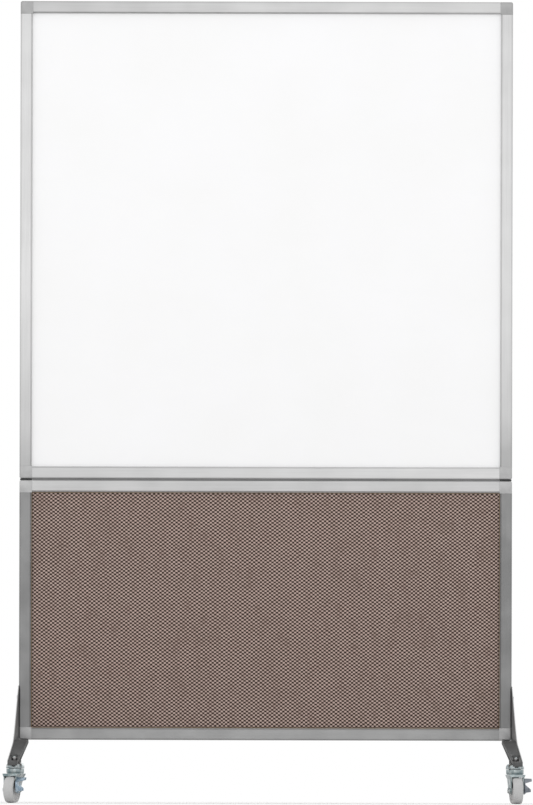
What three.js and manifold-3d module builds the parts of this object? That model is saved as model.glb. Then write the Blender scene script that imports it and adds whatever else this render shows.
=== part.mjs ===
// Rolling partition: a white dry-erase board above a fabric-covered board, each in its own
// aluminium frame, standing on two cast feet with four swivel casters.
// Millimetres, +Z up, X along the panels, -Y towards the viewer of the front.
// The origin is the point on the floor below the middle of the panels.

import * as THREE from "three";
import { mergeVertices } from "three/addons/utils/BufferGeometryUtils.js";
import Module from "manifold-3d";

const wasm = await Module();
wasm.setup();

// ---------------------------------------------------------------- driving dimensions

// Panels
const panelWidth = 1219.2;
const upperPanelHeight = 1182;
const lowerPanelHeight = 643;
const panelJointHeight = 3.6; // the dark line between the two panels

// Frame profile, an aluminium extrusion; its face is measured from outer to inner edge
const profileFace = 30;
const profileDepth = 32;
const profileWall = 1.6;
const profileEdgeRadius = 4;
const profileBevel = 4; // of the inner edge
const slotDepth = 9;
const slotClearance = 0.3; // on each side of a board
const boardEdgeClearance = 0.5;

// Corner connectors
const cornerReveal = 1; // how much wider a corner block is than the profile's face
const cornerProud = 0.3; // how far it stands out at the front and at the back
const cornerRadius = 5;
const tongueLength = 60;
const footTongueLength = 120; // takes both bolts of a foot
const tongueClearance = 0.3;
const jointLine = 0.2; // between a corner block and the end of a rail

// Boards
const whiteboardCoreThickness = 11;
const faceSheetThickness = 0.5;
const glueLine = 0.1;
const padThickness = 3;
const padEdgeGap = 1.5;
const padEdgeRadius = 1.2;

// Joint between the panels
const jointStripRecess = 3;
const spacerRecess = 1.2;
const spacerRadius = 4;
const stackClearance = 0.2;

// Feet; a reach is measured along Y from the panels' middle plane
const armDrop = 57; // from the panels' underside down to the caster's seat
const webHeight = 134; // of the side web above the panels' underside
const webThickness = 1.8;
const footClearance = 0.2;
const webTopHalfWidth = 14;
const webTopPull = 31; // handles of the web's sweeping edge, at its top and at its foot
const webTopFall = 29;
const webFootPull = 11;
const webFootRise = 14;
const rootMargin = 2; // the web stays flat this far past the frame
const stemReach = 208;
const armSpread = 24.6; // how far the outer edge runs outwards from root to tip
const armInset = 23; // of the inner edge from the panel's end, as far as the bend
const armTipWidth = 24;
const armThickness = 7.5;
const plateThickness = 3; // of the foot under the panels
const bendReach = 106; // where the arm starts to slope
const tipRise = 2; // the arm's top at its tip above the caster's seat
const noseGap = 11.5; // between the caster's swivel head and the arm's nose
const noseThickness = 9;
const noseDrop = 7; // below the caster's seat
const tipRadius = 8;
const bossWall = 2;
const nutFloor = 6; // thickness of the arm under the stem nut
const nutRoom = 3; // round the nut's corners, for a socket
const filletClearance = 0.4; // from the frame's rounded corner

// Foot bolts
const boltRadius = 3;
const boltHeadRadius = 6;
const boltHeadHeight = 3;
const boltSocketRadius = 2.3;
const boltSocketDepth = 1.8;
const boltReach = 16; // into the frame
const lowerBoltHeight = 50;
const upperBoltHeight = 105;
const boltClearance = 0.3;

// Casters
const casterHeight = 99; // floor to the underside of the foot
const wheelDiameter = 65;
const wheelWidth = 25;
const tyreThickness = 7.5;
const tyreShoulder = 5.5;
const hubWallHalfWidth = 11;
const hubRimThickness = 4;
const hubBossRadius = 8.5;
const hubBossProud = 0.9;
const trail = 30; // from the swivel axis back to the axle
const axleRadius = 4;
const axleHeadRadius = 7;
const axleHeadHeight = 3.2;
const runningClearance = 0.3;
const sideClearance = 0.4;
const forkSheet = 2.5;
const forkPlateThickness = 3;
const forkTopClearance = 4; // between the wheel and the fork's plate
const forkFlareHeight = 6; // the cheeks widen over this height under the plate
const forkEndRadius = 9;
const forkLip = 3; // turned down at the fork's front edge
const forkNose = 1; // how far the fork's plate stands out in front of its cheeks
const forkBackInset = 1; // of the plate's back edge from the race's
const swivelRadius = 20.5;
const capRoundWidth = 7.5; // the swivel head's shoulder, an oval in section
const capRoundHeight = 9;
const raceRadius = 19.8;
const raceDepth = 12.5;
const raceWall = 3;
const raceGap = 0.8;
const raceNeckHeight = 2.5; // the race stands on a narrower neck
const raceNeckDepth = 1.2;
const racewayRadius = 13;
const racewayDepth = 7;
const kingpinRadius = 5;
const kingpinHeadRadius = 8;
const kingpinHeadHeight = 3.5;
const stemRadius = 4;
const stemTipLength = 2; // above the nut
const stemChamfer = 1;
const nutAcrossFlats = 13;
const nutHeight = 8;
const leverSheet = 2;
const leverHubRadius = 9;
const leverPlate = [[5, 24], [1, 31], [-14, 23], [-19.5, 18], [-18.5, -6]]; // from the axle
const upperTabRoot = [[-14, 18], [1, 29]];
const upperTabLength = 19;
const upperTabTip = [0.5, 0.95]; // where its end lies along its root
const lowerTabRoot = [[-17, 17], [-16, -5]];
const lowerTabLength = 15.5;
const lowerTabTip = [0.62, 0.9];
const leftCasterTurn = -15.5; // degrees, as the casters came to rest
const rightCasterTurn = 6;

// ---------------------------------------------------------------- sizes that follow

const cornerFace = profileFace + cornerReveal;
const boardThickness = whiteboardCoreThickness + 2 * (faceSheetThickness + glueLine);
const slotWidth = boardThickness + 2 * slotClearance;
const slotFloor = profileFace - slotDepth;
const boardInset = slotFloor + boardEdgeClearance;
const panelBase = casterHeight + armDrop;
const upperPanelBase = panelBase + lowerPanelHeight + panelJointHeight;

const armReach = stemReach + swivelRadius + noseGap + noseThickness;
const armRoot = profileDepth / 2 + rootMargin;
const webOuter = footClearance + webThickness;
const tipTop = tipRise - armDrop;
const armSlope = tipTop / (armReach - bendReach);
const stemOffset = (armOuter(stemReach) + armInner(stemReach)) / 2;
const nutCornerRadius = nutAcrossFlats / Math.sqrt(3);
const pocketRadius = nutCornerRadius + nutRoom;

const wheelRadius = wheelDiameter / 2;
const cheekInner = wheelWidth / 2 + hubBossProud + sideClearance;
const cheekOuter = cheekInner + forkSheet;
const forkPlateBottom = wheelDiameter + forkTopClearance;
const forkPlateTop = forkPlateBottom + forkPlateThickness;
const raceTop = forkPlateBottom + forkPlateThickness + raceDepth;
const leverInner = cheekOuter + sideClearance;
const leverOuter = leverInner + leverSheet;

// Places of an arm's two edges, seen from above, measured from the panel's end face.
function armOuter(reach) {
  const along = Math.max(reach - armRoot, 0) / (armReach - armRoot);
  return webOuter + armSpread * along;
}

function armInner(reach) {
  const along = Math.max(reach - bendReach, 0) / (armReach - bendReach);
  return (armOuter(armReach) - armTipWidth + armInset) * along - armInset;
}

// Height of an arm's top, measured from the panels' underside.
function armTop(reach) {
  return Math.max(reach - bendReach, 0) * armSlope;
}

// ---------------------------------------------------------------- shape helpers

const acrossX = new THREE.Matrix4().set(0, 0, 1, 0, 1, 0, 0, 0, 0, 1, 0, 0, 0, 0, 0, 1);
const acrossY = new THREE.Matrix4().set(1, 0, 0, 0, 0, 0, -1, 0, 0, 1, 0, 0, 0, 0, 0, 1);
const upEdgeAlongX = new THREE.Matrix4().set(0, 0, 1, 0, 0, -1, 0, 0, 1, 0, 0, 0, 0, 0, 0, 1);

function solidOf(geometry) {
  const bare = geometry.clone();
  bare.deleteAttribute("normal");
  bare.deleteAttribute("uv");
  const merged = mergeVertices(bare, 1e-4);
  const vertProperties = merged.getAttribute("position").array;
  const triVerts = new Uint32Array(merged.index.array);
  return new wasm.Manifold(new wasm.Mesh({ numProp: 3, vertProperties, triVerts }));
}

function geometryOf(solid) {
  const mesh = solid.getMesh();
  const geometry = new THREE.BufferGeometry();
  geometry.setAttribute("position", new THREE.BufferAttribute(mesh.vertProperties, 3));
  geometry.setIndex(new THREE.BufferAttribute(mesh.triVerts, 1));
  const faceted = geometry.toNonIndexed();
  faceted.computeVertexNormals();
  return faceted;
}

function prism(shape, depth, curveSegments = 6) {
  return new THREE.ExtrudeGeometry(shape, { depth, bevelEnabled: false, curveSegments });
}

// A (Y, Z) outline from x = start to x = end.
function prismAlongX(shape, start, end, curveSegments) {
  return prism(shape, end - start, curveSegments).applyMatrix4(acrossX).translate(start, 0, 0);
}

// An (X, Z) outline from y = start to y = end.
function prismAlongY(shape, start, end, curveSegments) {
  return prism(shape, end - start, curveSegments).applyMatrix4(acrossY).translate(0, end, 0);
}

function block(x0, x1, y0, y1, z0, z1) {
  const box = new THREE.BoxGeometry(x1 - x0, y1 - y0, z1 - z0);
  return box.translate((x0 + x1) / 2, (y0 + y1) / 2, (z0 + z1) / 2);
}

// A turned piece round Z from [radius, height] pairs, listed from the top down on the outside.
function turned(profile, segments) {
  const points = profile.map(([radius, height]) => new THREE.Vector2(radius, height));
  const upwards = points.reverse();
  return new THREE.LatheGeometry(upwards, segments).rotateX(Math.PI / 2);
}

// The same round X, for what turns on an axle; heights then run along +X.
function turnedOnAxle(profile, segments) {
  return turned(profile, segments).rotateY(Math.PI / 2);
}

function rod(radius, x0, x1, segments = 20) {
  const shaft = new THREE.CylinderGeometry(radius, radius, x1 - x0, segments);
  return shaft.rotateZ(Math.PI / 2).translate((x0 + x1) / 2, 0, 0);
}

function post(radius, z0, z1, segments = 24) {
  const shaft = new THREE.CylinderGeometry(radius, radius, z1 - z0, segments);
  return shaft.rotateX(Math.PI / 2).translate(0, 0, (z0 + z1) / 2);
}

function outlineOf(points) {
  return new THREE.Shape(points.map(([x, y]) => new THREE.Vector2(x, y)));
}

function roundedRectangle(width, height, radius) {
  const x = width / 2;
  const y = height / 2;
  const shape = new THREE.Shape();
  shape.absarc(x - radius, y - radius, radius, 0, Math.PI / 2);
  shape.absarc(radius - x, y - radius, radius, Math.PI / 2, Math.PI);
  shape.absarc(radius - x, radius - y, radius, Math.PI, 1.5 * Math.PI);
  shape.absarc(x - radius, radius - y, radius, 1.5 * Math.PI, 2 * Math.PI);
  return shape;
}

// ---------------------------------------------------------------- finishes

function finish(color, roughness, metalness) {
  return new THREE.MeshStandardMaterial({ color, roughness, metalness });
}

const aluminium = () => finish(0xc9c9c9, 0.42, 0.9);
const cornerMetal = () => finish(0xaeaeae, 0.5, 0.85);
const whiteEnamel = () => finish(0xf7f7f7, 0.22, 0);
const fibreboard = () => finish(0xa98d6c, 0.9, 0);
const wovenFabric = () => finish(0x816d66, 0.95, 0);
const greyStrip = () => finish(0x6f7072, 0.7, 0);
const blackPlastic = () => finish(0x1f2020, 0.6, 0);
const charcoalPaint = () => finish(0x4b4d4c, 0.5, 0.2);
const zincPlate = () => finish(0xaeb7bb, 0.32, 0.95);
const greyTread = () => finish(0xbababa, 0.75, 0);
const greyHub = () => finish(0x9a9b9b, 0.6, 0);
const boltSteel = () => finish(0x55585a, 0.4, 0.9);

function piece(name, geometry, material, position = [0, 0, 0], rotation = [0, 0, 0]) {
  const mesh = new THREE.Mesh(geometry, material);
  mesh.name = name;
  mesh.position.set(...position);
  mesh.rotation.set(...rotation);
  return mesh;
}

// ---------------------------------------------------------------- frame profile

// Section of a rail: u runs inwards from the outer face, v from front to back.
function profileSection() {
  const half = profileDepth / 2;
  const bevelled = profileFace - profileBevel;
  const shape = new THREE.Shape();
  shape.moveTo(profileEdgeRadius, -half);
  shape.lineTo(bevelled, -half);
  shape.lineTo(profileFace, profileBevel - half);
  shape.lineTo(profileFace, -slotWidth / 2);
  shape.lineTo(slotFloor, -slotWidth / 2);
  shape.lineTo(slotFloor, slotWidth / 2);
  shape.lineTo(profileFace, slotWidth / 2);
  shape.lineTo(profileFace, half - profileBevel);
  shape.lineTo(bevelled, half);
  shape.lineTo(profileEdgeRadius, half);
  roundOuterEdges(shape, 0, half, profileEdgeRadius);
  shape.holes.push(chamberSection());
  return shape;
}

// Quarter rounds at the outer face, from the back edge round to the front edge.
function roundOuterEdges(path, face, half, radius) {
  path.absarc(face + radius, half - radius, radius, Math.PI / 2, Math.PI);
  path.absarc(face + radius, radius - half, radius, Math.PI, 1.5 * Math.PI);
}

// The hollow of the profile: one chamber with a leg on each side of the slot.
function chamberSection() {
  const half = profileDepth / 2;
  const inner = half - profileWall;
  const ease = profileWall * Math.tan(Math.PI / 8);
  const legSide = slotWidth / 2 + profileWall;
  const bevelled = profileFace - profileBevel - ease;
  const legEnd = profileFace - profileWall;
  const path = new THREE.Path();
  path.moveTo(profileWall + chamberRadius(), -inner);
  path.lineTo(bevelled, -inner);
  path.lineTo(legEnd, profileBevel + ease - half);
  path.lineTo(legEnd, -legSide);
  path.lineTo(slotFloor - profileWall, -legSide);
  path.lineTo(slotFloor - profileWall, legSide);
  path.lineTo(legEnd, legSide);
  path.lineTo(legEnd, half - profileBevel - ease);
  path.lineTo(bevelled, inner);
  roundOuterEdges(path, profileWall, inner, chamberRadius());
  return path;
}

function chamberRadius() {
  return Math.max(profileEdgeRadius - profileWall, profileWall / 2);
}

// The solid tongue that fills the chamber's main part.
function tongueSection() {
  const near = profileWall + tongueClearance;
  const far = slotFloor - profileWall - tongueClearance;
  const half = profileDepth / 2 - near;
  const shape = new THREE.Shape();
  shape.moveTo(near + chamberRadius(), -half);
  shape.lineTo(far, -half);
  shape.lineTo(far, half);
  roundOuterEdges(shape, near, half, chamberRadius());
  return shape;
}

function railGeometry(length, boltHeights = []) {
  const rail = prism(profileSection(), length, 3);
  if (boltHeights.length === 0) return rail;
  let drilled = solidOf(rail);
  for (const height of boltHeights) {
    const drill = rod(boltRadius + boltClearance, -1, profileWall + 1);
    drilled = drilled.subtract(solidOf(drill.translate(0, 0, height - cornerFace - jointLine)));
  }
  return geometryOf(drilled);
}

// ---------------------------------------------------------------- corner connectors

// Body of a corner: its two outer edges are rounded like the profile's, inner edges are square.
function cornerBlock() {
  const half = profileDepth / 2 + cornerProud;
  const slab = new THREE.Shape();
  slab.moveTo(profileEdgeRadius, -half);
  slab.lineTo(cornerFace, -half);
  slab.lineTo(cornerFace, half);
  roundOuterEdges(slab, 0, half, profileEdgeRadius);
  const upright = prism(slab, cornerFace, 3);
  const level = prism(slab, cornerFace, 3).applyMatrix4(upEdgeAlongX);
  const outline = new THREE.Shape();
  outline.moveTo(cornerRadius, 0);
  outline.lineTo(cornerFace, 0);
  outline.lineTo(cornerFace, cornerFace);
  outline.lineTo(0, cornerFace);
  outline.absarc(cornerRadius, cornerRadius, cornerRadius, Math.PI, 1.5 * Math.PI);
  const squared = prismAlongY(outline, -half, half, 5);
  return solidOf(upright).intersect(solidOf(level)).intersect(solidOf(squared));
}

// A corner with its two tongues; the block's outer corner is at the origin, inwards is +X and +Z.
function cornerGeometry(levelTongue, uprightTongue, boltHeights = []) {
  const bite = cornerFace / 2;
  const upright = prism(tongueSection(), uprightTongue + bite, 3).translate(0, 0, bite);
  const level = prism(tongueSection(), levelTongue + bite, 3);
  level.applyMatrix4(upEdgeAlongX).translate(bite, 0, 0);
  const notch = block(
    slotFloor, cornerFace + 1, -slotWidth / 2, slotWidth / 2, slotFloor, cornerFace + 1,
  );
  let corner = cornerBlock().add(solidOf(upright)).add(solidOf(level)).subtract(solidOf(notch));
  for (const height of boltHeights) {
    const drill = rod(boltRadius + boltClearance, -1, slotFloor).translate(0, 0, height);
    corner = corner.subtract(solidOf(drill));
  }
  return geometryOf(corner);
}

// ---------------------------------------------------------------- framed panels

// Rails, stiles and corners of one panel, its lower edge at z = 0 of the group.
function frameOf(prefix, height, lowerTongue, boltHeights) {
  const frame = new THREE.Group();
  const side = panelWidth / 2;
  const seat = cornerFace + jointLine;
  const railLength = panelWidth - 2 * seat;
  const stileLength = height - 2 * seat;
  const quarter = Math.PI / 2;
  frame.add(
    piece(prefix + "_bottom_rail", railGeometry(railLength), aluminium(),
      [railLength / 2, 0, 0], [0, -quarter, 0]),
    piece(prefix + "_top_rail", railGeometry(railLength), aluminium(),
      [-railLength / 2, 0, height], [0, quarter, 0]),
    piece(prefix + "_left_stile", railGeometry(stileLength, boltHeights), aluminium(),
      [-side, 0, seat]),
    piece(prefix + "_right_stile", railGeometry(stileLength, boltHeights), aluminium(),
      [side, 0, seat], [0, 0, Math.PI]),
    piece(prefix + "_bottom_left_corner", cornerGeometry(tongueLength, lowerTongue, boltHeights),
      cornerMetal(), [-side, 0, 0]),
    piece(prefix + "_bottom_right_corner", cornerGeometry(tongueLength, lowerTongue, boltHeights),
      cornerMetal(), [side, 0, 0], [0, 0, Math.PI]),
    piece(prefix + "_top_left_corner", cornerGeometry(tongueLength, tongueLength),
      cornerMetal(), [-side, 0, height], [Math.PI, 0, 0]),
    piece(prefix + "_top_right_corner", cornerGeometry(tongueLength, tongueLength),
      cornerMetal(), [side, 0, height], [0, Math.PI, 0]),
  );
  return frame;
}

// A board that fills the frame's slots, between y = front and y = back.
function boardGeometry(height, front, back) {
  const side = panelWidth / 2 - boardInset;
  return block(-side, side, front, back, boardInset, height - boardInset);
}

function whiteboardPanel() {
  const panel = frameOf("upper", upperPanelHeight, tongueLength, []);
  const core = whiteboardCoreThickness / 2;
  const sheet = core + glueLine;
  const face = sheet + faceSheetThickness;
  panel.add(
    piece("whiteboard_core", boardGeometry(upperPanelHeight, -core, core), fibreboard()),
    piece("whiteboard_front_sheet", boardGeometry(upperPanelHeight, -face, -sheet), whiteEnamel()),
    piece("whiteboard_back_sheet", boardGeometry(upperPanelHeight, sheet, face), whiteEnamel()),
  );
  panel.position.z = upperPanelBase;
  return panel;
}

// A fabric pad: a thin cushion in the frame's opening with its edges rounded off.
function padGeometry() {
  const inset = profileFace + padEdgeGap;
  const width = panelWidth - 2 * inset - 2 * padEdgeRadius;
  const height = lowerPanelHeight - 2 * inset - 2 * padEdgeRadius;
  const pad = new THREE.ExtrudeGeometry(roundedRectangle(width, height, padEdgeRadius), {
    depth: padThickness - 2 * padEdgeRadius,
    bevelThickness: padEdgeRadius,
    bevelSize: padEdgeRadius,
    bevelSegments: 2,
    curveSegments: 2,
  });
  pad.translate(0, 0, padEdgeRadius);
  return pad.applyMatrix4(acrossY).translate(0, 0, lowerPanelHeight / 2);
}

function fabricPanel() {
  const heights = [lowerBoltHeight, upperBoltHeight];
  const panel = frameOf("lower", lowerPanelHeight, footTongueLength, heights);
  const core = boardThickness / 2;
  const front = -core - glueLine;
  const back = core + glueLine + padThickness;
  panel.add(
    piece("fabric_panel_core", boardGeometry(lowerPanelHeight, -core, core), fibreboard()),
    piece("fabric_front", padGeometry(), wovenFabric(), [0, front, 0]),
    piece("fabric_back", padGeometry(), wovenFabric(), [0, back, 0]),
  );
  panel.position.z = panelBase;
  return panel;
}

// Grey strip between the rails of the two panels, and a black spacer at each end of it.
function panelJoint() {
  const joint = new THREE.Group();
  const thickness = panelJointHeight - 2 * stackClearance;
  const stripHalf = panelWidth / 2 - cornerFace - jointLine;
  const stripDepth = profileDepth / 2 - jointStripRecess;
  const strip = block(-stripHalf, stripHalf, -stripDepth, stripDepth, 0, thickness);
  joint.add(piece("panel_joint_strip", strip, greyStrip()));
  const length = cornerFace - spacerRecess - jointLine;
  const spacer = () => {
    const shape = roundedRectangle(length, profileDepth - 2 * spacerRecess, spacerRadius);
    return prism(shape, thickness, 3);
  };
  const place = panelWidth / 2 - spacerRecess - length / 2;
  joint.add(
    piece("left_joint_spacer", spacer(), blackPlastic(), [-place, 0, 0]),
    piece("right_joint_spacer", spacer(), blackPlastic(), [place, 0, 0]),
  );
  joint.position.z = panelBase + lowerPanelHeight + stackClearance;
  return joint;
}

// ---------------------------------------------------------------- feet

// Doubles an outline of one arm, [reach, height] from top to underside, to the other arm.
function bothArms(half) {
  const front = half.map(([reach, height]) => [-reach, height]);
  const rear = half.toReversed().filter(([reach]) => reach > 0);
  return outlineOf([...front, ...rear]);
}

// Arm bar from the side: flat under the panels, then sloping to the tip and its nose.
function barOutline() {
  const noseInner = armReach - noseThickness;
  return bothArms([
    [0, -footClearance],
    [bendReach - plateThickness, -footClearance],
    [bendReach + armThickness, armTop(bendReach + armThickness)],
    [armReach, tipTop],
    [armReach, -armDrop - noseDrop],
    [noseInner, -armDrop - noseDrop],
    [noseInner, armTop(noseInner) - armThickness],
    [bendReach, -armThickness],
    [armRoot + (bendReach - armRoot) / 2, -plateThickness - footClearance],
    [0, -plateThickness - footClearance],
  ]);
}

// Side web from the side: it sweeps down from beside the panel's end to the arm's top edge.
function webOutline() {
  const lip = webThickness;
  const landing = bendReach + 3 * plateThickness + armRoot;
  const sweep = new THREE.CubicBezierCurve(
    new THREE.Vector2(webTopHalfWidth, webHeight),
    new THREE.Vector2(webTopHalfWidth + webTopPull, webHeight - webTopFall),
    new THREE.Vector2(bendReach - webFootPull, webFootRise),
    new THREE.Vector2(landing, armTop(landing) + lip),
  );
  const curve = sweep.getPoints(14).map((point) => [point.x, point.y]);
  return bothArms([
    [0, webHeight],
    ...curve,
    [armReach, tipTop + lip],
    [armReach, -armDrop - noseDrop],
    [armReach - noseThickness, -armDrop - noseDrop],
    [armReach - noseThickness, armTop(armReach - noseThickness) - armThickness],
    [bendReach, -armThickness],
    [armRoot + (bendReach - armRoot) / 2, -plateThickness - footClearance],
    [0, -plateThickness - footClearance],
  ]);
}

// Plan of the foot: both arms between their inner and outer edges, with rounded tips.
function footPlan() {
  const plan = new THREE.Shape();
  const tipInner = armInner(armReach);
  const tipOuter = armOuter(armReach);
  const shoulder = armReach - tipRadius;
  plan.moveTo(armInner(bendReach), bendReach);
  plan.lineTo(armInner(bendReach), -bendReach);
  plan.lineTo(armInner(shoulder), -shoulder);
  plan.quadraticCurveTo(tipInner, -armReach, tipInner + tipRadius, -armReach);
  plan.lineTo(tipOuter - tipRadius, -armReach);
  plan.quadraticCurveTo(tipOuter, -armReach, armOuter(shoulder), -shoulder);
  plan.lineTo(armOuter(armRoot), -armRoot);
  plan.lineTo(armOuter(armRoot), armRoot);
  plan.lineTo(armOuter(shoulder), shoulder);
  plan.quadraticCurveTo(tipOuter, armReach, tipOuter - tipRadius, armReach);
  plan.lineTo(tipInner + tipRadius, armReach);
  plan.quadraticCurveTo(tipInner, armReach, armInner(shoulder), shoulder);
  return plan;
}

// Plan of the side web: a thin band along the foot's outer edge.
function webPlan() {
  const inside = (reach) => armOuter(reach) - webThickness;
  return outlineOf([
    [armOuter(armReach), -armReach],
    [armOuter(armRoot), -armRoot],
    [armOuter(armRoot), armRoot],
    [armOuter(armReach), armReach],
    [inside(armReach), armReach],
    [inside(armRoot), armRoot],
    [inside(armRoot), -armRoot],
    [inside(armReach), -armReach],
  ]);
}

// A foot for the right-hand end: x = 0 is the panel's end face, z = 0 the panels' underside.
function footGeometry() {
  const low = -armDrop - noseDrop - 1;
  const wide = armInset + armSpread;
  const plan = prism(footPlan(), webHeight - 2 * low, 5);
  const planSolid = solidOf(plan.translate(0, 0, low));
  const bar = solidOf(prismAlongX(barOutline(), -wide, wide)).intersect(planSolid);
  const band = prism(webPlan(), webHeight - 2 * low).translate(0, 0, low);
  const web = solidOf(prismAlongX(webOutline(), -wide, wide)).intersect(solidOf(band));
  let foot = bar.add(web.intersect(planSolid)).add(rootFillet());
  for (const reach of [-stemReach, stemReach]) foot = withCasterSeat(foot, reach);
  for (const height of [lowerBoltHeight, upperBoltHeight]) {
    const drill = rod(boltRadius + boltClearance, -1, webOuter + 1).translate(0, 0, height);
    foot = foot.subtract(solidOf(drill));
  }
  return geometryOf(foot);
}

// Fills the angle between the web and the plate up to the frame's rounded corner.
function rootFillet() {
  const half = profileDepth / 2;
  const outline = new THREE.Shape();
  outline.moveTo(-cornerRadius, -plateThickness / 2);
  outline.lineTo(webOuter - webThickness / 2, -plateThickness / 2);
  outline.lineTo(webOuter - webThickness / 2, cornerRadius);
  outline.absarc(
    -cornerRadius, cornerRadius, cornerRadius + filletClearance, 0, -Math.PI / 2, true,
  );
  return solidOf(prismAlongY(outline, -half, half, 5));
}

// Everything below the middle of the arms' thickness, as wide as the foot.
function belowArms() {
  const middle = armThickness / 2;
  const outline = bothArms([
    [0, -middle],
    [bendReach, -middle],
    [armReach, tipTop - middle],
    [armReach, -2 * armDrop],
    [0, -2 * armDrop],
  ]);
  return solidOf(prismAlongX(outline, -armInset, armInset + armSpread));
}

// Adds the seat over a caster: a round boss with a tail that ends short of the nose. Then cuts
// the nut's pocket with its open front, and the stem's hole.
function withCasterSeat(foot, reach) {
  const toFront = Math.sign(reach);
  const along = (length) => [reach, reach + toFront * length].toSorted((a, b) => a - b);
  const at = (shape) => solidOf(shape.translate(stemOffset, reach, 0));
  const acrossBy = (half) => [stemOffset - half, stemOffset + half];
  const floor = nutFloor - armDrop;
  const boss = at(post(pocketRadius + bossWall, -armDrop, 0, 28));
  const tail = block(
    ...acrossBy(nutCornerRadius + bossWall), ...along(swivelRadius), -armDrop, 0,
  );
  const pocket = at(post(pocketRadius, floor, 0, 28));
  const run = block(...acrossBy(nutCornerRadius), ...along(swivelRadius + noseGap), floor, 0);
  const hole = at(post(stemRadius + runningClearance, -armDrop - 1, 0));
  return foot
    .add(boss.add(solidOf(tail)).intersect(belowArms()))
    .subtract(pocket)
    .subtract(solidOf(run))
    .subtract(hole);
}

// Button-head bolt along X: the head's seat at x = 0, its shank towards -X.
function footBoltGeometry() {
  const shank = webOuter + boltReach;
  const dome = boltHeadHeight * 0.6;
  const profile = [
    [0, boltHeadHeight],
    [boltHeadRadius - dome, boltHeadHeight],
    [boltHeadRadius, boltHeadHeight - dome],
    [boltHeadRadius, 0],
    [boltRadius, 0],
    [boltRadius, -shank],
    [0, -shank],
  ];
  const bolt = solidOf(turnedOnAxle(profile, 18));
  const socket = rod(boltSocketRadius, boltHeadHeight - boltSocketDepth, boltHeadHeight + 1, 6);
  return geometryOf(bolt.subtract(solidOf(socket)));
}

function footGroup(side) {
  const group = new THREE.Group();
  group.add(piece(side + "_foot", footGeometry(), charcoalPaint()));
  const seat = webOuter + runningClearance / 2;
  const bolts = [["lower", lowerBoltHeight], ["upper", upperBoltHeight]];
  for (const [level, height] of bolts) {
    const name = side + "_foot_" + level + "_bolt";
    group.add(piece(name, footBoltGeometry(), boltSteel(), [seat, 0, height]));
  }
  return group;
}

// ---------------------------------------------------------------- casters
// Each is drawn with its swivel axis on Z, the floor at z = 0, and the wheel trailing to -Y.

// Threaded stem, swivel cap, upper raceway and kingpin, fixed to the foot.
function stemGeometry() {
  const seat = casterHeight - runningClearance;
  const tip = casterHeight + nutFloor + nutHeight + stemTipLength;
  const rim = raceTop + raceGap;
  const pinEnd = forkPlateBottom - raceGap;
  const shoulder = [0, 30, 60, 90].map(THREE.MathUtils.degToRad).map((angle) => [
    swivelRadius - capRoundWidth * (1 - Math.sin(angle)),
    seat - capRoundHeight * (1 - Math.cos(angle)),
  ]);
  return turned([
    [0, tip],
    [stemRadius - stemChamfer, tip],
    [stemRadius, tip - stemChamfer],
    [stemRadius, seat],
    ...shoulder,
    [swivelRadius, rim],
    [racewayRadius, rim],
    [racewayRadius, rim - racewayDepth],
    [kingpinRadius, rim - racewayDepth],
    [kingpinRadius, pinEnd],
    [kingpinHeadRadius, pinEnd],
    [kingpinHeadRadius, pinEnd - kingpinHeadHeight],
    [0, pinEnd - kingpinHeadHeight],
  ], 24);
}

function stemNutGeometry() {
  const hexagon = new THREE.CylinderGeometry(nutCornerRadius, nutCornerRadius, nutHeight, 6);
  const body = solidOf(hexagon.rotateX(Math.PI / 2).translate(0, 0, nutHeight / 2));
  const bore = stemRadius + runningClearance;
  const flat = nutAcrossFlats / 2;
  const chamfer = nutCornerRadius - flat;
  const collar = nutHeight * 0.72;
  const turning = turned([
    [flat - chamfer, nutHeight],
    [flat, collar],
    [nutCornerRadius, collar - chamfer],
    [nutCornerRadius, chamfer],
    [flat, 0],
    [bore, 0],
    [bore, nutHeight],
    [flat - chamfer, nutHeight],
  ], 18);
  return geometryOf(body.intersect(solidOf(turning)));
}

// Fork from the front: a plate with two cheeks that are widest at the plate.
function forkFrontOutline() {
  const low = wheelRadius - forkEndRadius - 1;
  const flare = forkPlateBottom - forkFlareHeight;
  const shoulder = raceRadius - forkSheet;
  return outlineOf([
    [cheekInner, low],
    [cheekOuter, low],
    [cheekOuter, flare],
    [raceRadius, forkPlateTop],
    [-raceRadius, forkPlateTop],
    [-cheekOuter, flare],
    [-cheekOuter, low],
    [-cheekInner, low],
    [-cheekInner, flare],
    [-shoulder, forkPlateBottom],
    [shoulder, forkPlateBottom],
    [cheekInner, flare],
  ]);
}

// Fork from the side: y = 0 is the swivel axis, and the cheeks narrow down to the axle.
function forkSideOutline() {
  const shape = new THREE.Shape();
  const front = -trail - forkEndRadius;
  const back = raceRadius - forkBackInset;
  const low = forkPlateBottom - forkPlateThickness;
  shape.moveTo(back, forkPlateTop);
  shape.lineTo(front + forkNose, forkPlateTop);
  shape.quadraticCurveTo(front - forkNose, forkPlateTop, front - forkNose, low);
  shape.lineTo(front, wheelRadius);
  shape.absarc(-trail, wheelRadius, forkEndRadius, Math.PI, 1.75 * Math.PI);
  shape.quadraticCurveTo(0, wheelRadius + trail - forkEndRadius, back, low);
  return shape;
}

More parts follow.
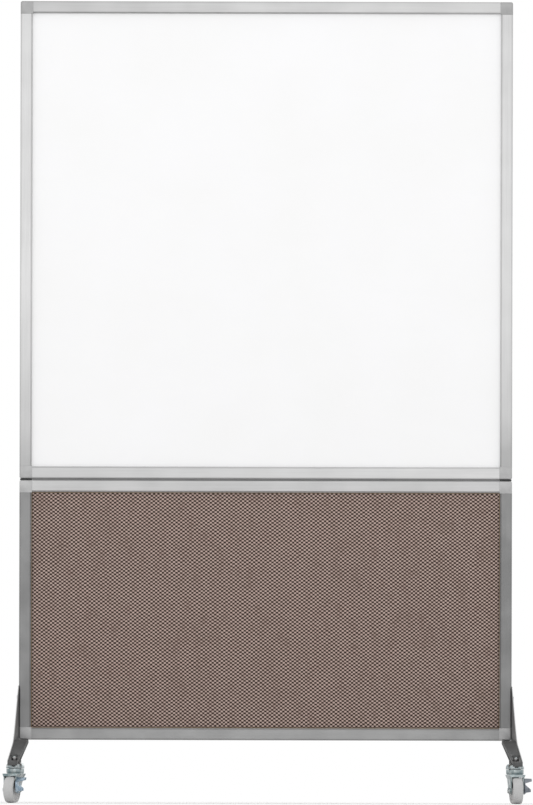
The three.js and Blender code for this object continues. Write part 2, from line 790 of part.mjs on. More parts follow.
function forkGeometry() {
  const wide = swivelRadius + 2;
  const cheeks = solidOf(prismAlongY(forkFrontOutline(), -trail - 2 * wide, 2 * wide));
  const side = solidOf(prismAlongX(forkSideOutline(), -wide, wide, 8));
  const neckRadius = raceRadius - raceNeckDepth;
  const race = turned([
    [raceRadius, raceTop],
    [raceRadius, forkPlateTop + raceNeckHeight],
    [neckRadius, forkPlateTop + raceNeckHeight - raceNeckDepth / 2],
    [neckRadius, forkPlateBottom],
    [kingpinRadius + runningClearance, forkPlateBottom],
    [kingpinRadius + runningClearance, forkPlateTop],
    [raceRadius - raceWall, forkPlateTop],
    [raceRadius - raceWall, raceTop],
    [raceRadius, raceTop],
  ], 24);
  const bore = post(kingpinRadius + runningClearance, forkPlateBottom - 1, raceTop + 1);
  const axleHole = rod(axleRadius + runningClearance, -wide, wide);
  const front = -trail - forkEndRadius - forkNose;
  const lip = block(
    -cheekOuter, cheekOuter, front, front + forkSheet,
    forkPlateBottom - forkLip, forkPlateBottom + forkPlateThickness / 2,
  );
  return geometryOf(
    cheeks
      .intersect(side)
      .add(solidOf(lip))
      .add(solidOf(race))
      .subtract(solidOf(bore))
      .subtract(solidOf(axleHole.translate(0, -trail, wheelRadius))),
  );
}

// Closed ring of soft tread with rounded shoulders.
function tyreGeometry() {
  const half = wheelWidth / 2;
  const inner = wheelRadius - tyreThickness;
  const shoulder = (share) => {
    const angle = share * Math.PI / 2;
    return [
      wheelRadius - tyreShoulder * (1 - Math.cos(angle)),
      half - tyreShoulder * (1 - Math.sin(angle)),
    ];
  };
  const steps = [1, 1 / 2, 0];
  const upper = steps.map(shoulder);
  const lower = steps.toReversed().map(shoulder).map(([radius, x]) => [radius, -x]);
  const start = [inner, half];
  return turnedOnAxle([start, ...upper, ...lower, [inner, -half], start], 36);
}

// Moulded wheel centre: rim, thin wall and a boss round the axle.
function hubGeometry() {
  const rim = wheelRadius - tyreThickness - runningClearance;
  const rimInner = rim - hubRimThickness;
  const rimHalf = wheelWidth / 2 - 1;
  const bossHalf = wheelWidth / 2 + hubBossProud;
  const bore = axleRadius + runningClearance;
  const right = [
    [bore, bossHalf],
    [hubBossRadius, bossHalf],
    [hubBossRadius, hubWallHalfWidth],
    [rimInner, hubWallHalfWidth],
    [rimInner, rimHalf],
    [rim, rimHalf],
  ];
  const left = right.toReversed().map(([radius, x]) => [radius, -x]);
  return turnedOnAxle([...right, ...left, right[0]], 24);
}

// Riveted axle: a domed head outside the left cheek and one outside the brake lever.
function axleGeometry() {
  const left = -cheekOuter - sideClearance;
  const right = leverOuter + sideClearance;
  const dome = axleHeadHeight / 2;
  return turnedOnAxle([
    [0, right + axleHeadHeight],
    [axleHeadRadius - dome, right + axleHeadHeight],
    [axleHeadRadius, right + axleHeadHeight - dome],
    [axleHeadRadius, right],
    [axleRadius, right],
    [axleRadius, left],
    [axleHeadRadius, left],
    [axleHeadRadius, left - axleHeadHeight + dome],
    [axleHeadRadius - dome, left - axleHeadHeight],
    [0, left - axleHeadHeight],
  ], 20);
}

// A flat tab that stands out along +X from its root, a line across the lever's plate.
function leverTab([start, end], length, [tipStart, tipEnd]) {
  const root = new THREE.Vector3(0, end[0] - start[0], end[1] - start[1]);
  const width = root.length();
  const outline = outlineOf([
    [0, 0],
    [length, tipStart * width],
    [length, tipEnd * width],
    [0, width],
  ]);
  const out = new THREE.Vector3(1, 0, 0);
  const along = root.normalize();
  const normal = new THREE.Vector3().crossVectors(out, along);
  const basis = new THREE.Matrix4().makeBasis(out, along, normal);
  const tab = prism(outline, leverSheet).applyMatrix4(basis);
  return solidOf(tab.translate(leverInner, start[0], start[1]));
}

// Pressed brake lever: a plate that rocks on the axle, with a tab to press at each end.
function leverGeometry() {
  const plate = new THREE.Shape();
  plate.absarc(0, 0, leverHubRadius, -0.75 * Math.PI, 0.05 * Math.PI);
  for (const [reach, height] of leverPlate) plate.lineTo(reach, height);
  const sheet = solidOf(prismAlongX(plate, leverInner, leverOuter, 8));
  const upper = leverTab(upperTabRoot, upperTabLength, upperTabTip);
  const lower = leverTab(lowerTabRoot, lowerTabLength, lowerTabTip);
  const hole = rod(axleRadius + runningClearance, leverInner - 1, leverOuter + 1);
  return geometryOf(sheet.add(upper).add(lower).subtract(solidOf(hole)));
}

function caster(name, turn) {
  const group = new THREE.Group();
  const axle = [0, -trail, wheelRadius];
  const nutSeat = casterHeight + nutFloor + runningClearance / 2;
  group.add(
    piece(name + "_stem", stemGeometry(), zincPlate()),
    piece(name + "_stem_nut", stemNutGeometry(), zincPlate(), [0, 0, nutSeat]),
    piece(name + "_fork", forkGeometry(), zincPlate()),
    piece(name + "_tyre", tyreGeometry(), greyTread(), axle),
    piece(name + "_wheel_hub", hubGeometry(), greyHub(), axle),
    piece(name + "_axle", axleGeometry(), zincPlate(), axle),
    piece(name + "_brake_lever", leverGeometry(), zincPlate(), axle),
  );
  group.rotation.z = THREE.MathUtils.degToRad(turn);
  return group;
}

// ---------------------------------------------------------------- assembly

const partition = new THREE.Group();
partition.add(whiteboardPanel(), fabricPanel(), panelJoint());

const rightFoot = footGroup("right");
rightFoot.position.set(panelWidth / 2, 0, panelBase);
const leftFoot = footGroup("left");
leftFoot.position.set(-panelWidth / 2, 0, panelBase);
leftFoot.rotation.z = Math.PI;
partition.add(rightFoot, leftFoot);

for (const [side, sign, turn] of [["left", -1, leftCasterTurn], ["right", 1, rightCasterTurn]]) {
  for (const [end, reach] of [["front", -stemReach], ["rear", stemReach]]) {
    const wheel = caster(end + "_" + side + "_caster", turn);
    wheel.position.set(sign * (panelWidth / 2 + stemOffset), reach, 0);
    partition.add(wheel);
  }
}

export default partition;
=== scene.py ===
import math

import bmesh
import bpy
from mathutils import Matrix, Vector


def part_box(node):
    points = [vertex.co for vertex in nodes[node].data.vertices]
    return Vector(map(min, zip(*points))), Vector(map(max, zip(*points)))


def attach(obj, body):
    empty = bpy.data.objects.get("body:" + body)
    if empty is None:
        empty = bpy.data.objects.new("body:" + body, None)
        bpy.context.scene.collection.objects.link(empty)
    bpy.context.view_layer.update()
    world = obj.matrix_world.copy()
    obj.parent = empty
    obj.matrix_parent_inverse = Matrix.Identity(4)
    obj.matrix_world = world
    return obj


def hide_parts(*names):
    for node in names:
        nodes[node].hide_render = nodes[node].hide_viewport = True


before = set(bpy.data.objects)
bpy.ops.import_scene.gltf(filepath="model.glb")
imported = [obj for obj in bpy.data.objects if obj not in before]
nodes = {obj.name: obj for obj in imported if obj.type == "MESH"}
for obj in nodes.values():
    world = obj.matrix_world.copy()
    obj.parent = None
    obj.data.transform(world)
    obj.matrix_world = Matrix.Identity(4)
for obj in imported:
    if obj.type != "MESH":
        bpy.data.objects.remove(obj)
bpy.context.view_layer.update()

scene = bpy.context.scene

# ---- Camera.
# A long lens far in front of the divider, low and tipped up at its middle, so that each
# front caster hides the rear one. It is turned a touch about its own axis.
pictured_height = 1.9928
pictured_middle = 0.9922
camera_distance = 60.0
camera_height = 0.1
camera_aside = 0.0035
camera_roll = math.radians(-0.14)
farthest_seen = 200
sensor = 36

lens_camera = bpy.data.cameras.new("camera")
lens_camera.sensor_width = sensor
lens_camera.lens = sensor * camera_distance / pictured_height
lens_camera.clip_end = farthest_seen
camera = bpy.data.objects.new("camera", lens_camera)
camera.location = (camera_aside, -camera_distance, camera_height)
tip_up = math.atan((pictured_middle - camera_height) / camera_distance)
camera.rotation_euler = (math.radians(90) + tip_up, camera_roll, 0)
scene.collection.objects.link(camera)
scene.camera = camera

# ---- Aluminium rails and stiles of both frames.
# Extruded channel, satin anodised, with the fine lengthwise grain that the die leaves.
# Each is sawn square and pushed over the tongues of the corner castings.


def tone(red, green=None, blue=None):
    """Colour of a finish from display values, 0 to 255."""
    values = (red, red if green is None else green, red if blue is None else blue)
    channels = [v / 255 for v in values]
    linear = [c / 12.92 if c <= 0.04045 else ((c + 0.055) / 1.055) ** 2.4 for c in channels]
    return (*linear, 1.0)


def new_finish(name, sockets):
    """A material with one shader, and the values of that shader's sockets."""
    finish = bpy.data.materials.new(name)
    finish.use_nodes = True
    tree = finish.node_tree
    shader = tree.nodes["Principled BSDF"]
    for socket, value in sockets.items():
        shader.inputs[socket].default_value = value
    return finish, tree, shader


def plug(tree, socket, value):
    """Sets a socket to a value, or joins it to another node's output."""
    if isinstance(value, bpy.types.NodeSocket):
        tree.links.new(value, socket)
    else:
        socket.default_value = value


def add(tree, kind, inputs=None, **settings):
    """A node whose inputs are values or the outputs of other nodes."""
    made = tree.nodes.new(kind)
    for setting, value in settings.items():
        setattr(made, setting, value)
    for socket, value in (inputs or {}).items():
        plug(tree, made.inputs[socket], value)
    return made


def reckoned(tree, operation, first, second=0.0):
    return add(tree, "ShaderNodeMath", {0: first, 1: second}, operation=operation).outputs[0]


def product(tree, first, second):
    return reckoned(tree, "MULTIPLY", first, second)


def place_on_divider(tree):
    """Where a point lies on the divider, in metres, whatever piece it is on."""
    return add(tree, "ShaderNodeTexCoord").outputs["Object"]


def along(tree, axis, direction):
    """One part of a place or direction: how far it goes along x, y or z."""
    return add(tree, "ShaderNodeSeparateXYZ", {0: direction}).outputs["xyz".index(axis)]


def speckle(tree, place, size, detail=3.0, stretch=(1, 1, 1)):
    """Noise with blobs of about the given size in metres."""
    scale = tuple(1 / (size * s) for s in stretch)
    moved = add(tree, "ShaderNodeMapping", {"Vector": place, "Scale": scale}).outputs[0]
    inputs = {"Vector": moved, "Scale": 1.0, "Detail": detail}
    return add(tree, "ShaderNodeTexNoise", inputs).outputs["Fac"]


def ranged(tree, value, low, high, start=0.0, end=1.0):
    """Runs from low to high as the value goes from start to end, and stays there beyond."""
    inputs = {"Value": value, "From Min": start, "From Max": end, "To Min": low, "To Max": high}
    return add(tree, "ShaderNodeMapRange", inputs).outputs[0]


def blended(tree, factor, first, second):
    inputs = {0: factor, 6: first, 7: second}
    return add(tree, "ShaderNodeMix", inputs, data_type="RGBA").outputs[2]


def relief(tree, shader, height, depth):
    """Small bumps from a height of 0 to 1 that stands for depth in metres."""
    bump = add(tree, "ShaderNodeBump", {"Height": height, "Distance": depth, "Strength": 1.0})
    plug(tree, shader.inputs["Normal"], bump.outputs[0])


def shades(tree, value, stops):
    """Greys along a value: each stop is the value and the display grey there."""
    low, high = stops[0][0], stops[-1][0]
    ramp = add(tree, "ShaderNodeValToRGB", {0: ranged(tree, value, 0.0, 1.0, low, high)})
    steps = ramp.color_ramp.elements
    steps[0].color = tone(stops[0][1])
    steps[1].color = tone(stops[-1][1])
    for at, grey in stops[1:-1]:
        steps.new((at - low) / (high - low)).color = tone(grey)
    return ramp.outputs[0]


grain_size = 0.0012
grain_stretch = 120
grain_depth = 0.00006
grain_shadow = tone(92)
cloud_size = 0.09
cloud_light = tone(236)


def satin_aluminium(name, axis, stops):
    """Anodised channel that runs along x or z, with its grey at places on the way: the metal's
    grey with painted light and shade.
    """
    finish, tree, shader = new_finish(name, {"Metallic": 0.9, "Specular IOR Level": 0.5})
    place = place_on_divider(tree)
    body = shades(tree, along(tree, axis, place), stops)
    lengthwise = [grain_stretch if way == axis else 1 for way in "xyz"]
    grain = speckle(tree, place, grain_size, 4.0, lengthwise)
    cloud = speckle(tree, place, cloud_size, 2.0)
    grained = blended(tree, ranged(tree, grain, 0.0, 0.16), body, grain_shadow)
    cloudy = blended(tree, ranged(tree, cloud, 0.0, 0.1, 0.35, 0.65), grained, cloud_light)
    plug(tree, shader.inputs["Base Color"], cloudy)
    plug(tree, shader.inputs["Roughness"], ranged(tree, grain, 0.34, 0.5))
    relief(tree, shader, grain, grain_depth)
    return finish


crisp_angle = 38  # degrees; flatter edges than this belong to round faces
joined_within = 0.00002


def smooth_round_faces(piece):
    """Smooth shading across the edges of round faces, and crisp ones elsewhere."""
    label = "smooth round faces"
    group = bpy.data.node_groups.get(label)
    if group is None:
        group = bpy.data.node_groups.new(label, "GeometryNodeTree")
        group.interface.new_socket("Shape", in_out="INPUT", socket_type="NodeSocketGeometry")
        group.interface.new_socket("Shape", in_out="OUTPUT", socket_type="NodeSocketGeometry")
        shape = add(group, "NodeGroupInput").outputs[0]
        inputs = {"Geometry": shape, "Shade Smooth": True}
        faces = add(group, "GeometryNodeSetShadeSmooth", inputs, domain="FACE").outputs[0]
        bend = add(group, "GeometryNodeInputMeshEdgeAngle").outputs["Unsigned Angle"]
        sharp = add(group, "FunctionNodeCompare", {0: bend, 1: math.radians(crisp_angle)})
        inputs = {"Geometry": faces, "Selection": sharp.outputs[0], "Shade Smooth": False}
        edges = add(group, "GeometryNodeSetShadeSmooth", inputs, domain="EDGE").outputs[0]
        add(group, "NodeGroupOutput", {0: edges})
    piece.modifiers.new(label, "NODES").node_group = group


def soften(node, width):
    """Eased edges and smooth round faces, over the solid as it is."""
    weld = node.modifiers.new("joined faces", "WELD")
    weld.merge_threshold = joined_within
    edge = node.modifiers.new("eased edges", "BEVEL")
    edge.width = width
    edge.segments = 2
    edge.limit_method = "ANGLE"
    edge.angle_limit = math.radians(crisp_angle)
    edge.use_clamp_overlap = True
    smooth_round_faces(node)


def wear(node, finish):
    """Gives a solid its finish in every material slot that it has."""
    for place in node.material_slots:
        place.material = finish


# Greys along each rail from left to right, and up the stiles of each frame: the metal's grey
# with painted light and shade, lighter and darker along each piece as the light falls.
rail_painted_shading = {
    "upper_top_rail": [(-0.6, 177), (0.0, 190), (0.6, 195)],
    "upper_bottom_rail": [(-0.6, 192), (0.0, 200), (0.6, 208)],
    "lower_top_rail": [(-0.6, 190), (0.0, 188), (0.6, 193)],
    "lower_bottom_rail": [(-0.6, 150), (0.0, 158), (0.6, 156)],
}
stile_painted_shading = {
    "upper": [(0.80, 172), (0.88, 175), (0.95, 190), (1.10, 202), (1.30, 206), (1.98, 198)],
    "lower": [(0.156, 150), (0.19, 138), (0.25, 124), (0.31, 125), (0.50, 132), (0.80, 125)],
}
for rail, greys in rail_painted_shading.items():
    wear(nodes[rail], satin_aluminium(rail + "_metal", "x", greys))
    smooth_round_faces(nodes[rail])
for level, greys in stile_painted_shading.items():
    metal = satin_aluminium(level + "_stile_metal", "z", greys)
    for side in ("left", "right"):
        stile = nodes[f"{level}_{side}_stile"]
        wear(stile, metal)
        smooth_round_faces(stile)

# ---- Corner castings.
# Die-cast aluminium, satin and a little darker than the rails, with two solid tongues that are
# pressed into the channels. The block that shows is a hair wider than the channel.
casting_skin = 0.0009
casting_skin_depth = 0.00008
casting_stain = 0.014
casting_easing = 0.0006
# Each corner's grey is the casting's satin grey with painted light and shade; the four pairs are
# one finish.
corner_painted_greys = {"upper_top": 172, "upper_bottom": 180, "lower_top": 188, "lower_bottom": 174}


def cast_corner(name, grey):
    finish, tree, shader = new_finish(name, {"Metallic": 0.85})
    place = place_on_divider(tree)
    skin = speckle(tree, place, casting_skin, 5.0)
    stain = speckle(tree, place, casting_stain, 2.0)
    spotted = blended(tree, ranged(tree, skin, 0.0, 0.3), tone(grey), tone(grey * 0.72))
    lighter = ranged(tree, stain, 0.0, 0.25, 0.3, 0.7)
    plug(tree, shader.inputs["Base Color"], blended(tree, lighter, spotted, tone(grey * 1.12)))
    plug(tree, shader.inputs["Roughness"], ranged(tree, skin, 0.42, 0.6))
    relief(tree, shader, skin, casting_skin_depth)
    return finish


for level, grey in corner_painted_greys.items():
    casting = cast_corner(level + "_casting", grey)
    for side in ("left", "right"):
        corner = nodes[f"{level}_{side}_corner"]
        wear(corner, casting)
        soften(corner, casting_easing)

# ---- Writing board.
# A fibreboard core between two thin steel sheets with glossy white dry-erase enamel,
# glued together and held in the slot of the upper frame on all four sides.
enamel_haze = 0.22
enamel_haze_depth = 0.0002
wipe_mark = 0.004
wipe_mark_stretch = (30, 1, 2)
fibre_size = 0.0016
fibre_stretch = (6, 1, 6)
fibre_depth = 0.0003


def dry_erase_enamel():
    sockets = {"Roughness": 0.2, "Coat Weight": 0.6, "Coat Roughness": 0.06}
    sockets["Specular IOR Level"] = 0.5
    finish, tree, shader = new_finish("dry_erase_enamel", sockets)
    place = place_on_divider(tree)
    haze = speckle(tree, place, enamel_haze, 2.0)
    marks = speckle(tree, place, wipe_mark, 3.0, wipe_mark_stretch)
    white = blended(tree, ranged(tree, haze, 0.0, 1.0, 0.3, 0.7), tone(252), tone(254, 254, 255))
    plug(tree, shader.inputs["Base Color"], white)
    plug(tree, shader.inputs["Roughness"], ranged(tree, marks, 0.16, 0.27, 0.3, 0.7))
    relief(tree, shader, haze, enamel_haze_depth)
    return finish


def fibreboard():
    finish, tree, shader = new_finish("fibreboard", {"Roughness": 0.9})
    fibre = speckle(tree, place_on_divider(tree), fibre_size, 6.0, fibre_stretch)
    brown = blended(tree, fibre, tone(146, 118, 88), tone(190, 164, 130))
    plug(tree, shader.inputs["Base Color"], brown)
    relief(tree, shader, fibre, fibre_depth)
    return finish


enamel = dry_erase_enamel()
wear(nodes["whiteboard_front_sheet"], enamel)
wear(nodes["whiteboard_back_sheet"], enamel)
core_board = fibreboard()
wear(nodes["whiteboard_core"], core_board)

# ---- Fabric board.
# Woven upholstery cloth, taupe with a small diamond of dark brown and light tan yarns,
# stretched over each side of a fibreboard, and rolled over its edge into the frame.
cloth_thickness = 0.0006
edge_roll = 0.003
diamond_width = 0.0113
diamond_height = 0.0089
yarns_per_diamond = 8
weave_depth = 0.0005
fluff_size = 0.0007
light_yarn = tone(212, 190, 180)
dark_yarn = tone(22, 6, 4)
ground_yarns = (tone(128, 104, 98), tone(121, 107, 96))
yarn_shadow = tone(96, 76, 70)
fluff_light = tone(166, 144, 136)


def waves(tree, kind, place, axis, pitch, drift=0.0):
    """A wave along an axis, at a pitch in metres, that runs early or late by the drift."""
    turns = product(tree, along(tree, axis, place), math.tau / pitch)
    return reckoned(tree, kind, reckoned(tree, "ADD", turns, drift))


def woven_cloth():
    sockets = {"Roughness": 0.95, "Sheen Weight": 0.12, "Sheen Roughness": 0.5}
    sockets["Specular IOR Level"] = 0.2
    finish, tree, shader = new_finish("woven_taupe_cloth", sockets)
    place = place_on_divider(tree)

    lean = ranged(tree, speckle(tree, place, 0.023, 2.0), -0.6, 0.6, 0.25, 0.75)
    slip = ranged(tree, speckle(tree, place, 0.015, 2.0, (1, 1, 2)), -0.7, 0.7, 0.25, 0.75)
    across = waves(tree, "COSINE", place, "x", diamond_width, lean)
    upwards = waves(tree, "COSINE", place, "z", diamond_height, slip)
    diamonds = product(tree, across, upwards)
    patches = ranged(tree, speckle(tree, place, 0.017, 3.0, (1, 1, 2)), 1.0, 3.2, 0.3, 0.7)
    strength = product(tree, diamonds, patches)

    colour = blended(tree, speckle(tree, place, 0.02, 3.0), *ground_yarns)
    colour = blended(tree, ranged(tree, strength, 0.0, 1.0), colour, light_yarn)
    colour = blended(tree, ranged(tree, strength, 0.0, 1.0, 0.0, -0.75), colour, dark_yarn)
    warp = waves(tree, "SINE", place, "x", diamond_width / yarns_per_diamond)
    weft = waves(tree, "SINE", place, "z", diamond_height / yarns_per_diamond)
    yarns = ranged(tree, product(tree, warp, weft), 0.0, 1.0, -1.0, 1.0)
    fluff = speckle(tree, place, fluff_size, 4.0)
    colour = blended(tree, ranged(tree, yarns, 0.0, 0.2), colour, yarn_shadow)
    colour = blended(tree, ranged(tree, fluff, 0.0, 0.12), colour, fluff_light)
    plug(tree, shader.inputs["Base Color"], colour)

    swell = ranged(tree, diamonds, 0.0, 0.4, -1.0, 1.0)
    height = reckoned(tree, "ADD", swell, product(tree, yarns, 0.45))
    relief(tree, shader, height, weave_depth)
    return finish


taupe = woven_cloth()
mesh_pitch = 0.012
roll_angles = (0, 22, 45, 67, 90)
ripple_depth = 0.00008


def steps_between(low, high):
    """Places across the board: close together over the rolled edge, then evenly apart."""
    roll = [edge_roll * (1 - math.cos(math.radians(angle))) for angle in roll_angles]
    inner = high - low - 2 * edge_roll
    count = round(inner / mesh_pitch)
    middle = [low + edge_roll + inner * i / count for i in range(1, count)]
    return [low + r for r in roll] + middle + [high - r for r in reversed(roll)]


def ripple_at(x, z):
    """How far the cloth lies back at a place: long, low and uneven waves."""
    bent = x * 19 + 2.1 * math.sin(z * 11)
    return ripple_depth * (1 + math.sin(bent) * math.sin(z * 23 + 0.7))


def stretched_cloth(name, solid, toward_front):
    low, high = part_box(solid)
    face, root = (low.y, high.y) if toward_front else (high.y, low.y)
    columns = steps_between(low.x, high.x)
    shape = bmesh.new()
    grid = []
    for z in steps_between(low.z, high.z):
        line = []
        for x in columns:
            inset = min(x - low.x, high.x - x, z - low.z, high.z - z, edge_roll)
            sunk = edge_roll - math.sqrt(max(edge_roll**2 - (edge_roll - inset) ** 2, 0))
            depth = min(sunk, abs(root - face)) + ripple_at(x, z)
            y = face + depth if toward_front else face - depth
            line.append(shape.verts.new((x, y, z)))
        grid.append(line)
    for lower, upper in zip(grid, grid[1:]):
        for i in range(len(columns) - 1):
            corners = (lower[i], lower[i + 1], upper[i + 1], upper[i])
            shape.faces.new(corners if toward_front else tuple(reversed(corners)))
    mesh = bpy.data.meshes.new(name)
    shape.to_mesh(mesh)
    shape.free()
    mesh.shade_smooth()
    cloth = bpy.data.objects.new(name, mesh)
    scene.collection.objects.link(cloth)
    cloth.data.materials.append(taupe)
    solidify = cloth.modifiers.new("thickness", "SOLIDIFY")
    solidify.thickness = cloth_thickness
    solidify.offset = -1
    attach(cloth, "partition")
    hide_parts(solid)


stretched_cloth("front_cloth", "fabric_front", True)
stretched_cloth("back_cloth", "fabric_back", False)
wear(nodes["fabric_panel_core"], core_board)

# ---- Joint between the panels.
# A grey plastic strip fills the slit between the two frames, and a black moulded spacer
# sits at each end of it, where the corner castings meet.
plastic_skin = 0.0008
plastic_skin_depth = 0.00005
plastic_scuff = 0.018
spacer_easing = 0.0004


def moulded_plastic(name, colour, darker, roughness):
    finish, tree, shader = new_finish(name, {"Roughness": roughness})
    place = place_on_divider(tree)
    skin = speckle(tree, place, plastic_skin, 4.0)
    scuff = speckle(tree, place, plastic_scuff, 3.0)
    mottled = blended(tree, ranged(tree, scuff, 0.0, 0.8, 0.3, 0.7), colour, darker)
    uneven = ranged(tree, skin, roughness - 0.07, roughness + 0.08)
    plug(tree, shader.inputs["Base Color"], mottled)
    plug(tree, shader.inputs["Roughness"], uneven)
    relief(tree, shader, skin, plastic_skin_depth)
    return finish


wear(nodes["panel_joint_strip"], moulded_plastic("grey_strip", tone(134), tone(120), 0.6))
black_plastic = moulded_plastic("black_plastic", tone(44), tone(30), 0.5)
for side in ("left", "right"):
    spacer = nodes[side + "_joint_spacer"]
    wear(spacer, black_plastic)
    soften(spacer, spacer_easing)

# ---- Feet and their bolts.
# Cast steel arms with a thin side web, sprayed charcoal with a fine texture. Two dark
# button-head bolts pass through each web and the stile into the corner's long tongue.
web_splay = 0.1065  # how far the web runs outwards for each metre forwards or back
web_inner = 0.608  # from the middle of the divider to the web's inner face
web_margin = 0.0004
# The painted sheen on the web's inner face runs from dim to bright between these distances.
sheen_from, sheen_to = 0.612, 0.621  # from the middle of the divider
paint_texture = 0.0011
paint_texture_depth = 0.0001
paint_cloud = 0.03
paint_dark, paint_body = tone(72, 73, 73), tone(96, 97, 97)
paint_dust = tone(112, 112, 111)
# Pale grey of the painted highlight and painted sheen on the web.
web_sheen_colour = tone(186)
foot_easing = 0.0006
bolt_turning = 0.0006
bolt_turning_depth = 0.00004
bolt_easing = 0.0003


def painted_web_sheen(tree, place):
    """How much of the painted highlight a foot's side web takes, from 0 to 1: a painted
    highlight along its narrow edge, and a painted sheen on its inner face, brighter away from
    the panel."""
    x = along(tree, "x", place)
    outward = reckoned(tree, "ABSOLUTE", x)
    normal = add(tree, "ShaderNodeNewGeometry").outputs["True Normal"]
    sideways = along(tree, "x", normal)
    edge_on = ranged(tree, reckoned(tree, "ABSOLUTE", sideways), 1.0, 0.0, 0.4, 0.8)
    inner_face = ranged(tree, product(tree, sideways, x), 1.0, 0.0, -0.55, -0.45)
    sheen_away_from_panel = ranged(tree, outward, 0.25, 0.62, sheen_from, sheen_to)
    painted_sheen = reckoned(tree, "MAXIMUM", edge_on, product(tree, inner_face, sheen_away_from_panel))
    forward_or_back = reckoned(tree, "ABSOLUTE", along(tree, "y", place))
    unsplayed = reckoned(tree, "SUBTRACT", outward, product(tree, forward_or_back, web_splay))
    on_web = ranged(tree, unsplayed, 0.0, 1.0, web_inner - web_margin, web_inner)
    return product(tree, painted_sheen, on_web)


def charcoal_paint():
    finish, tree, shader = new_finish("charcoal_paint", {"Metallic": 0.15})
    place = place_on_divider(tree)
    texture = speckle(tree, place, paint_texture, 4.0)
    cloud = speckle(tree, place, paint_cloud, 3.0)
    painted_sheen = painted_web_sheen(tree, place)
    body = blended(tree, ranged(tree, texture, 0.0, 0.7), paint_dark, paint_body)
    dusty = blended(tree, ranged(tree, cloud, 0.0, 0.3, 0.4, 0.8), body, paint_dust)
    # The side web takes a painted highlight on its narrow edge and a painted sheen on its inner
    # face.
    plug(tree, shader.inputs["Base Color"], blended(tree, painted_sheen, dusty, web_sheen_colour))
    matt = ranged(tree, texture, 0.42, 0.6)
    smoother = product(tree, painted_sheen, -0.3)
    plug(tree, shader.inputs["Roughness"], reckoned(tree, "ADD", matt, smoother))
    relief(tree, shader, texture, paint_texture_depth)
    return finish


def bolt_steel():
    finish, tree, shader = new_finish("bolt_steel", {"Metallic": 0.95})
    turned = speckle(tree, place_on_divider(tree), bolt_turning, 3.0)
    plug(tree, shader.inputs["Base Color"], blended(tree, turned, tone(92), tone(132)))
    plug(tree, shader.inputs["Roughness"], ranged(tree, turned, 0.3, 0.5))
    relief(tree, shader, turned, bolt_turning_depth)
    return finish


charcoal = charcoal_paint()
dark_steel = bolt_steel()
for side in ("left", "right"):
    foot = nodes[side + "_foot"]
    wear(foot, charcoal)
    soften(foot, foot_easing)
    for level in ("lower", "upper"):
        bolt = nodes[f"{side}_foot_{level}_bolt"]
        wear(bolt, dark_steel)
        soften(bolt, bolt_easing)

# ---- Casters.
# Pressed and zinc-plated steel with the blue and straw tints of the plating bath: a fixed
# swivel head on a threaded stem, a forked yoke below it, a riveted axle and a wheel.
bath_tint = 0.016
plating_streak = 0.004
plating_streak_stretch = (1, 1, 3)
plating_streak_depth = 0.00006
tread_skin = 0.0015
tread_skin_depth = 0.0001
tread_dust = 0.02
lever_easing = 0.0004


def zinc_plate(name, base, cool, warm, roughness):
    finish, tree, shader = new_finish(name, {"Metallic": 0.95})
    place = place_on_divider(tree)
    bath = speckle(tree, place, bath_tint, 3.0)
    streak = speckle(tree, place, plating_streak, 4.0, plating_streak_stretch)
    cooled = blended(tree, ranged(tree, bath, 0.0, 1.0, 0.38, 0.62), base, cool)
    warmed = blended(tree, ranged(tree, streak, 0.0, 0.5, 0.5, 0.75), cooled, warm)
    uneven = ranged(tree, streak, roughness - 0.06, roughness + 0.1)
    plug(tree, shader.inputs["Base Color"], warmed)
    plug(tree, shader.inputs["Roughness"], uneven)
    relief(tree, shader, streak, plating_streak_depth)
    return finish


def grey_tread():
    finish, tree, shader = new_finish("grey_tread", {"Specular IOR Level": 0.35})
    place = place_on_divider(tree)
    skin = speckle(tree, place, tread_skin, 4.0)
    dust = speckle(tree, place, tread_dust, 3.0)
    body = blended(tree, ranged(tree, skin, 0.0, 0.5), tone(204), tone(192))
    worn = blended(tree, ranged(tree, dust, 0.0, 0.3, 0.45, 0.8), body, tone(168, 167, 164))
    plug(tree, shader.inputs["Base Color"], worn)
    plug(tree, shader.inputs["Roughness"], ranged(tree, skin, 0.62, 0.8))
    relief(tree, shader, skin, tread_skin_depth)
    return finish


bright_zinc = zinc_plate(
    "bright_zinc", tone(186, 193, 194), tone(124, 137, 140), tone(214, 210, 202), 0.24
)
fork_zinc = zinc_plate(
    "fork_zinc", tone(172, 181, 182), tone(122, 138, 141), tone(200, 200, 196), 0.28
)
nut_zinc = zinc_plate("nut_zinc", tone(168, 166, 165), tone(146, 147, 148), tone(186), 0.42)
# The left levers are painted lighter and bluer than the right ones: a painted reflection and
# highlight on the same zinc plating.
lever_zinc = {
    "left": zinc_plate(
        "lever_zinc_painted_reflection", tone(166, 184, 198), tone(124, 148, 170), tone(222, 230, 236), 0.26
    ),
    "right": zinc_plate(
        "grey_lever", tone(146, 150, 156), tone(118, 124, 132), tone(180, 182, 186), 0.36
    ),
}
tread = grey_tread()
hub_plastic = moulded_plastic("hub_plastic", tone(186), tone(172), 0.55)
caster_finishes = {  # each with how far the piece's edges are eased
    "stem": (bright_zinc, 0.0005),
    "stem_nut": (nut_zinc, 0.0003),
    "fork": (fork_zinc, 0.0006),
    "tyre": (tread, 0.0004),
    "wheel_hub": (hub_plastic, 0.0006),
    "axle": (bright_zinc, 0.0003),
}
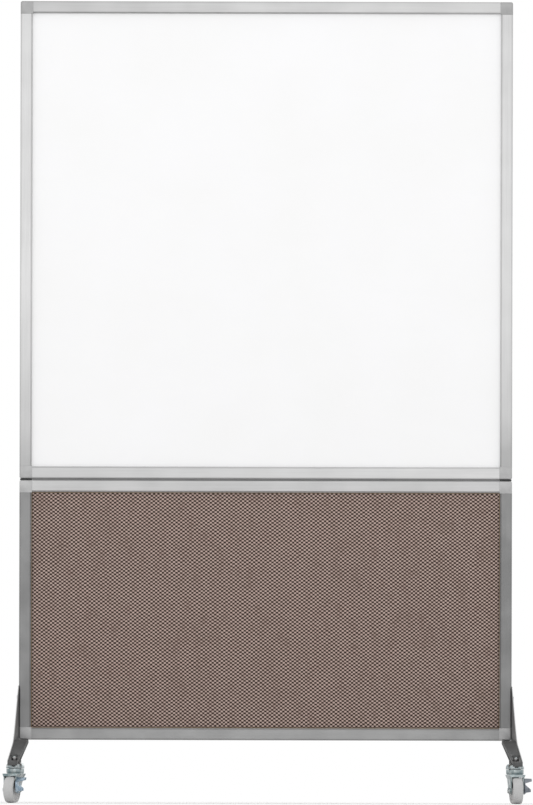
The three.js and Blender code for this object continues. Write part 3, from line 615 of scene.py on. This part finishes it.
for end in ("front", "rear"):
    for side in ("left", "right"):
        lever = ("brake_lever", (lever_zinc[side], lever_easing))
        for part, (finish, easing) in [*caster_finishes.items(), lever]:
            node = nodes[f"{end}_{side}_caster_{part}"]
            wear(node, finish)
            soften(node, easing)

# ---- Floor and light.
# A plain pale floor that keeps the divider's shadow, an even white surround, and two soft
# lamps, one before the divider and one behind it.
floor_half = 2.6
floor_below = 0.0002
surround = 0.88
lamp_size = 3.0
lamp_aim = Vector((0, 0, 0.9))

white_floor, tree, shader = new_finish("pale_floor", {"Roughness": 1.0})
shader.inputs["Specular IOR Level"].default_value = 0.0
seen = add(tree, "ShaderNodeLightPath").outputs["Is Camera Ray"]
plug(tree, shader.inputs["Base Color"], blended(tree, seen, (0.8, 0.8, 0.8, 1), (1, 1, 1, 1)))
mesh = bpy.data.meshes.new("floor")
floor_corners = [(-1, -1), (1, -1), (1, 1), (-1, 1)]
mesh.from_pydata([(x * floor_half, y * floor_half, 0) for x, y in floor_corners], [], [range(4)])
floor = bpy.data.objects.new("floor", mesh)
floor.location.z = -floor_below
floor.data.materials.append(white_floor)
scene.collection.objects.link(floor)

world = bpy.data.worlds.new("surround")
scene.world = world
world.use_nodes = True
tree = world.node_tree
rays = add(tree, "ShaderNodeLightPath").outputs
clear = reckoned(tree, "MAXIMUM", rays["Is Camera Ray"], rays["Is Glossy Ray"])
clear = reckoned(tree, "MAXIMUM", clear, rays["Is Transmission Ray"])
sky = tree.nodes["Background"]
sky.inputs["Color"].default_value = (1, 1, 1, 1)
plug(tree, sky.inputs["Strength"], ranged(tree, clear, surround, 1.0))


def soft_lamp(name, place, power):
    lamp = bpy.data.lights.new(name, "AREA")
    lamp.size = lamp_size
    lamp.energy = power
    holder = bpy.data.objects.new(name, lamp)
    holder.location = place
    holder.rotation_euler = (lamp_aim - Vector(place)).to_track_quat("-Z", "Y").to_euler()
    scene.collection.objects.link(holder)


soft_lamp("front_lamp", (-0.3, -4.6, 2.2), 20)
soft_lamp("rear_lamp", (2.0, 3.8, 2.4), 26)

scene.view_settings.view_transform = "Standard"
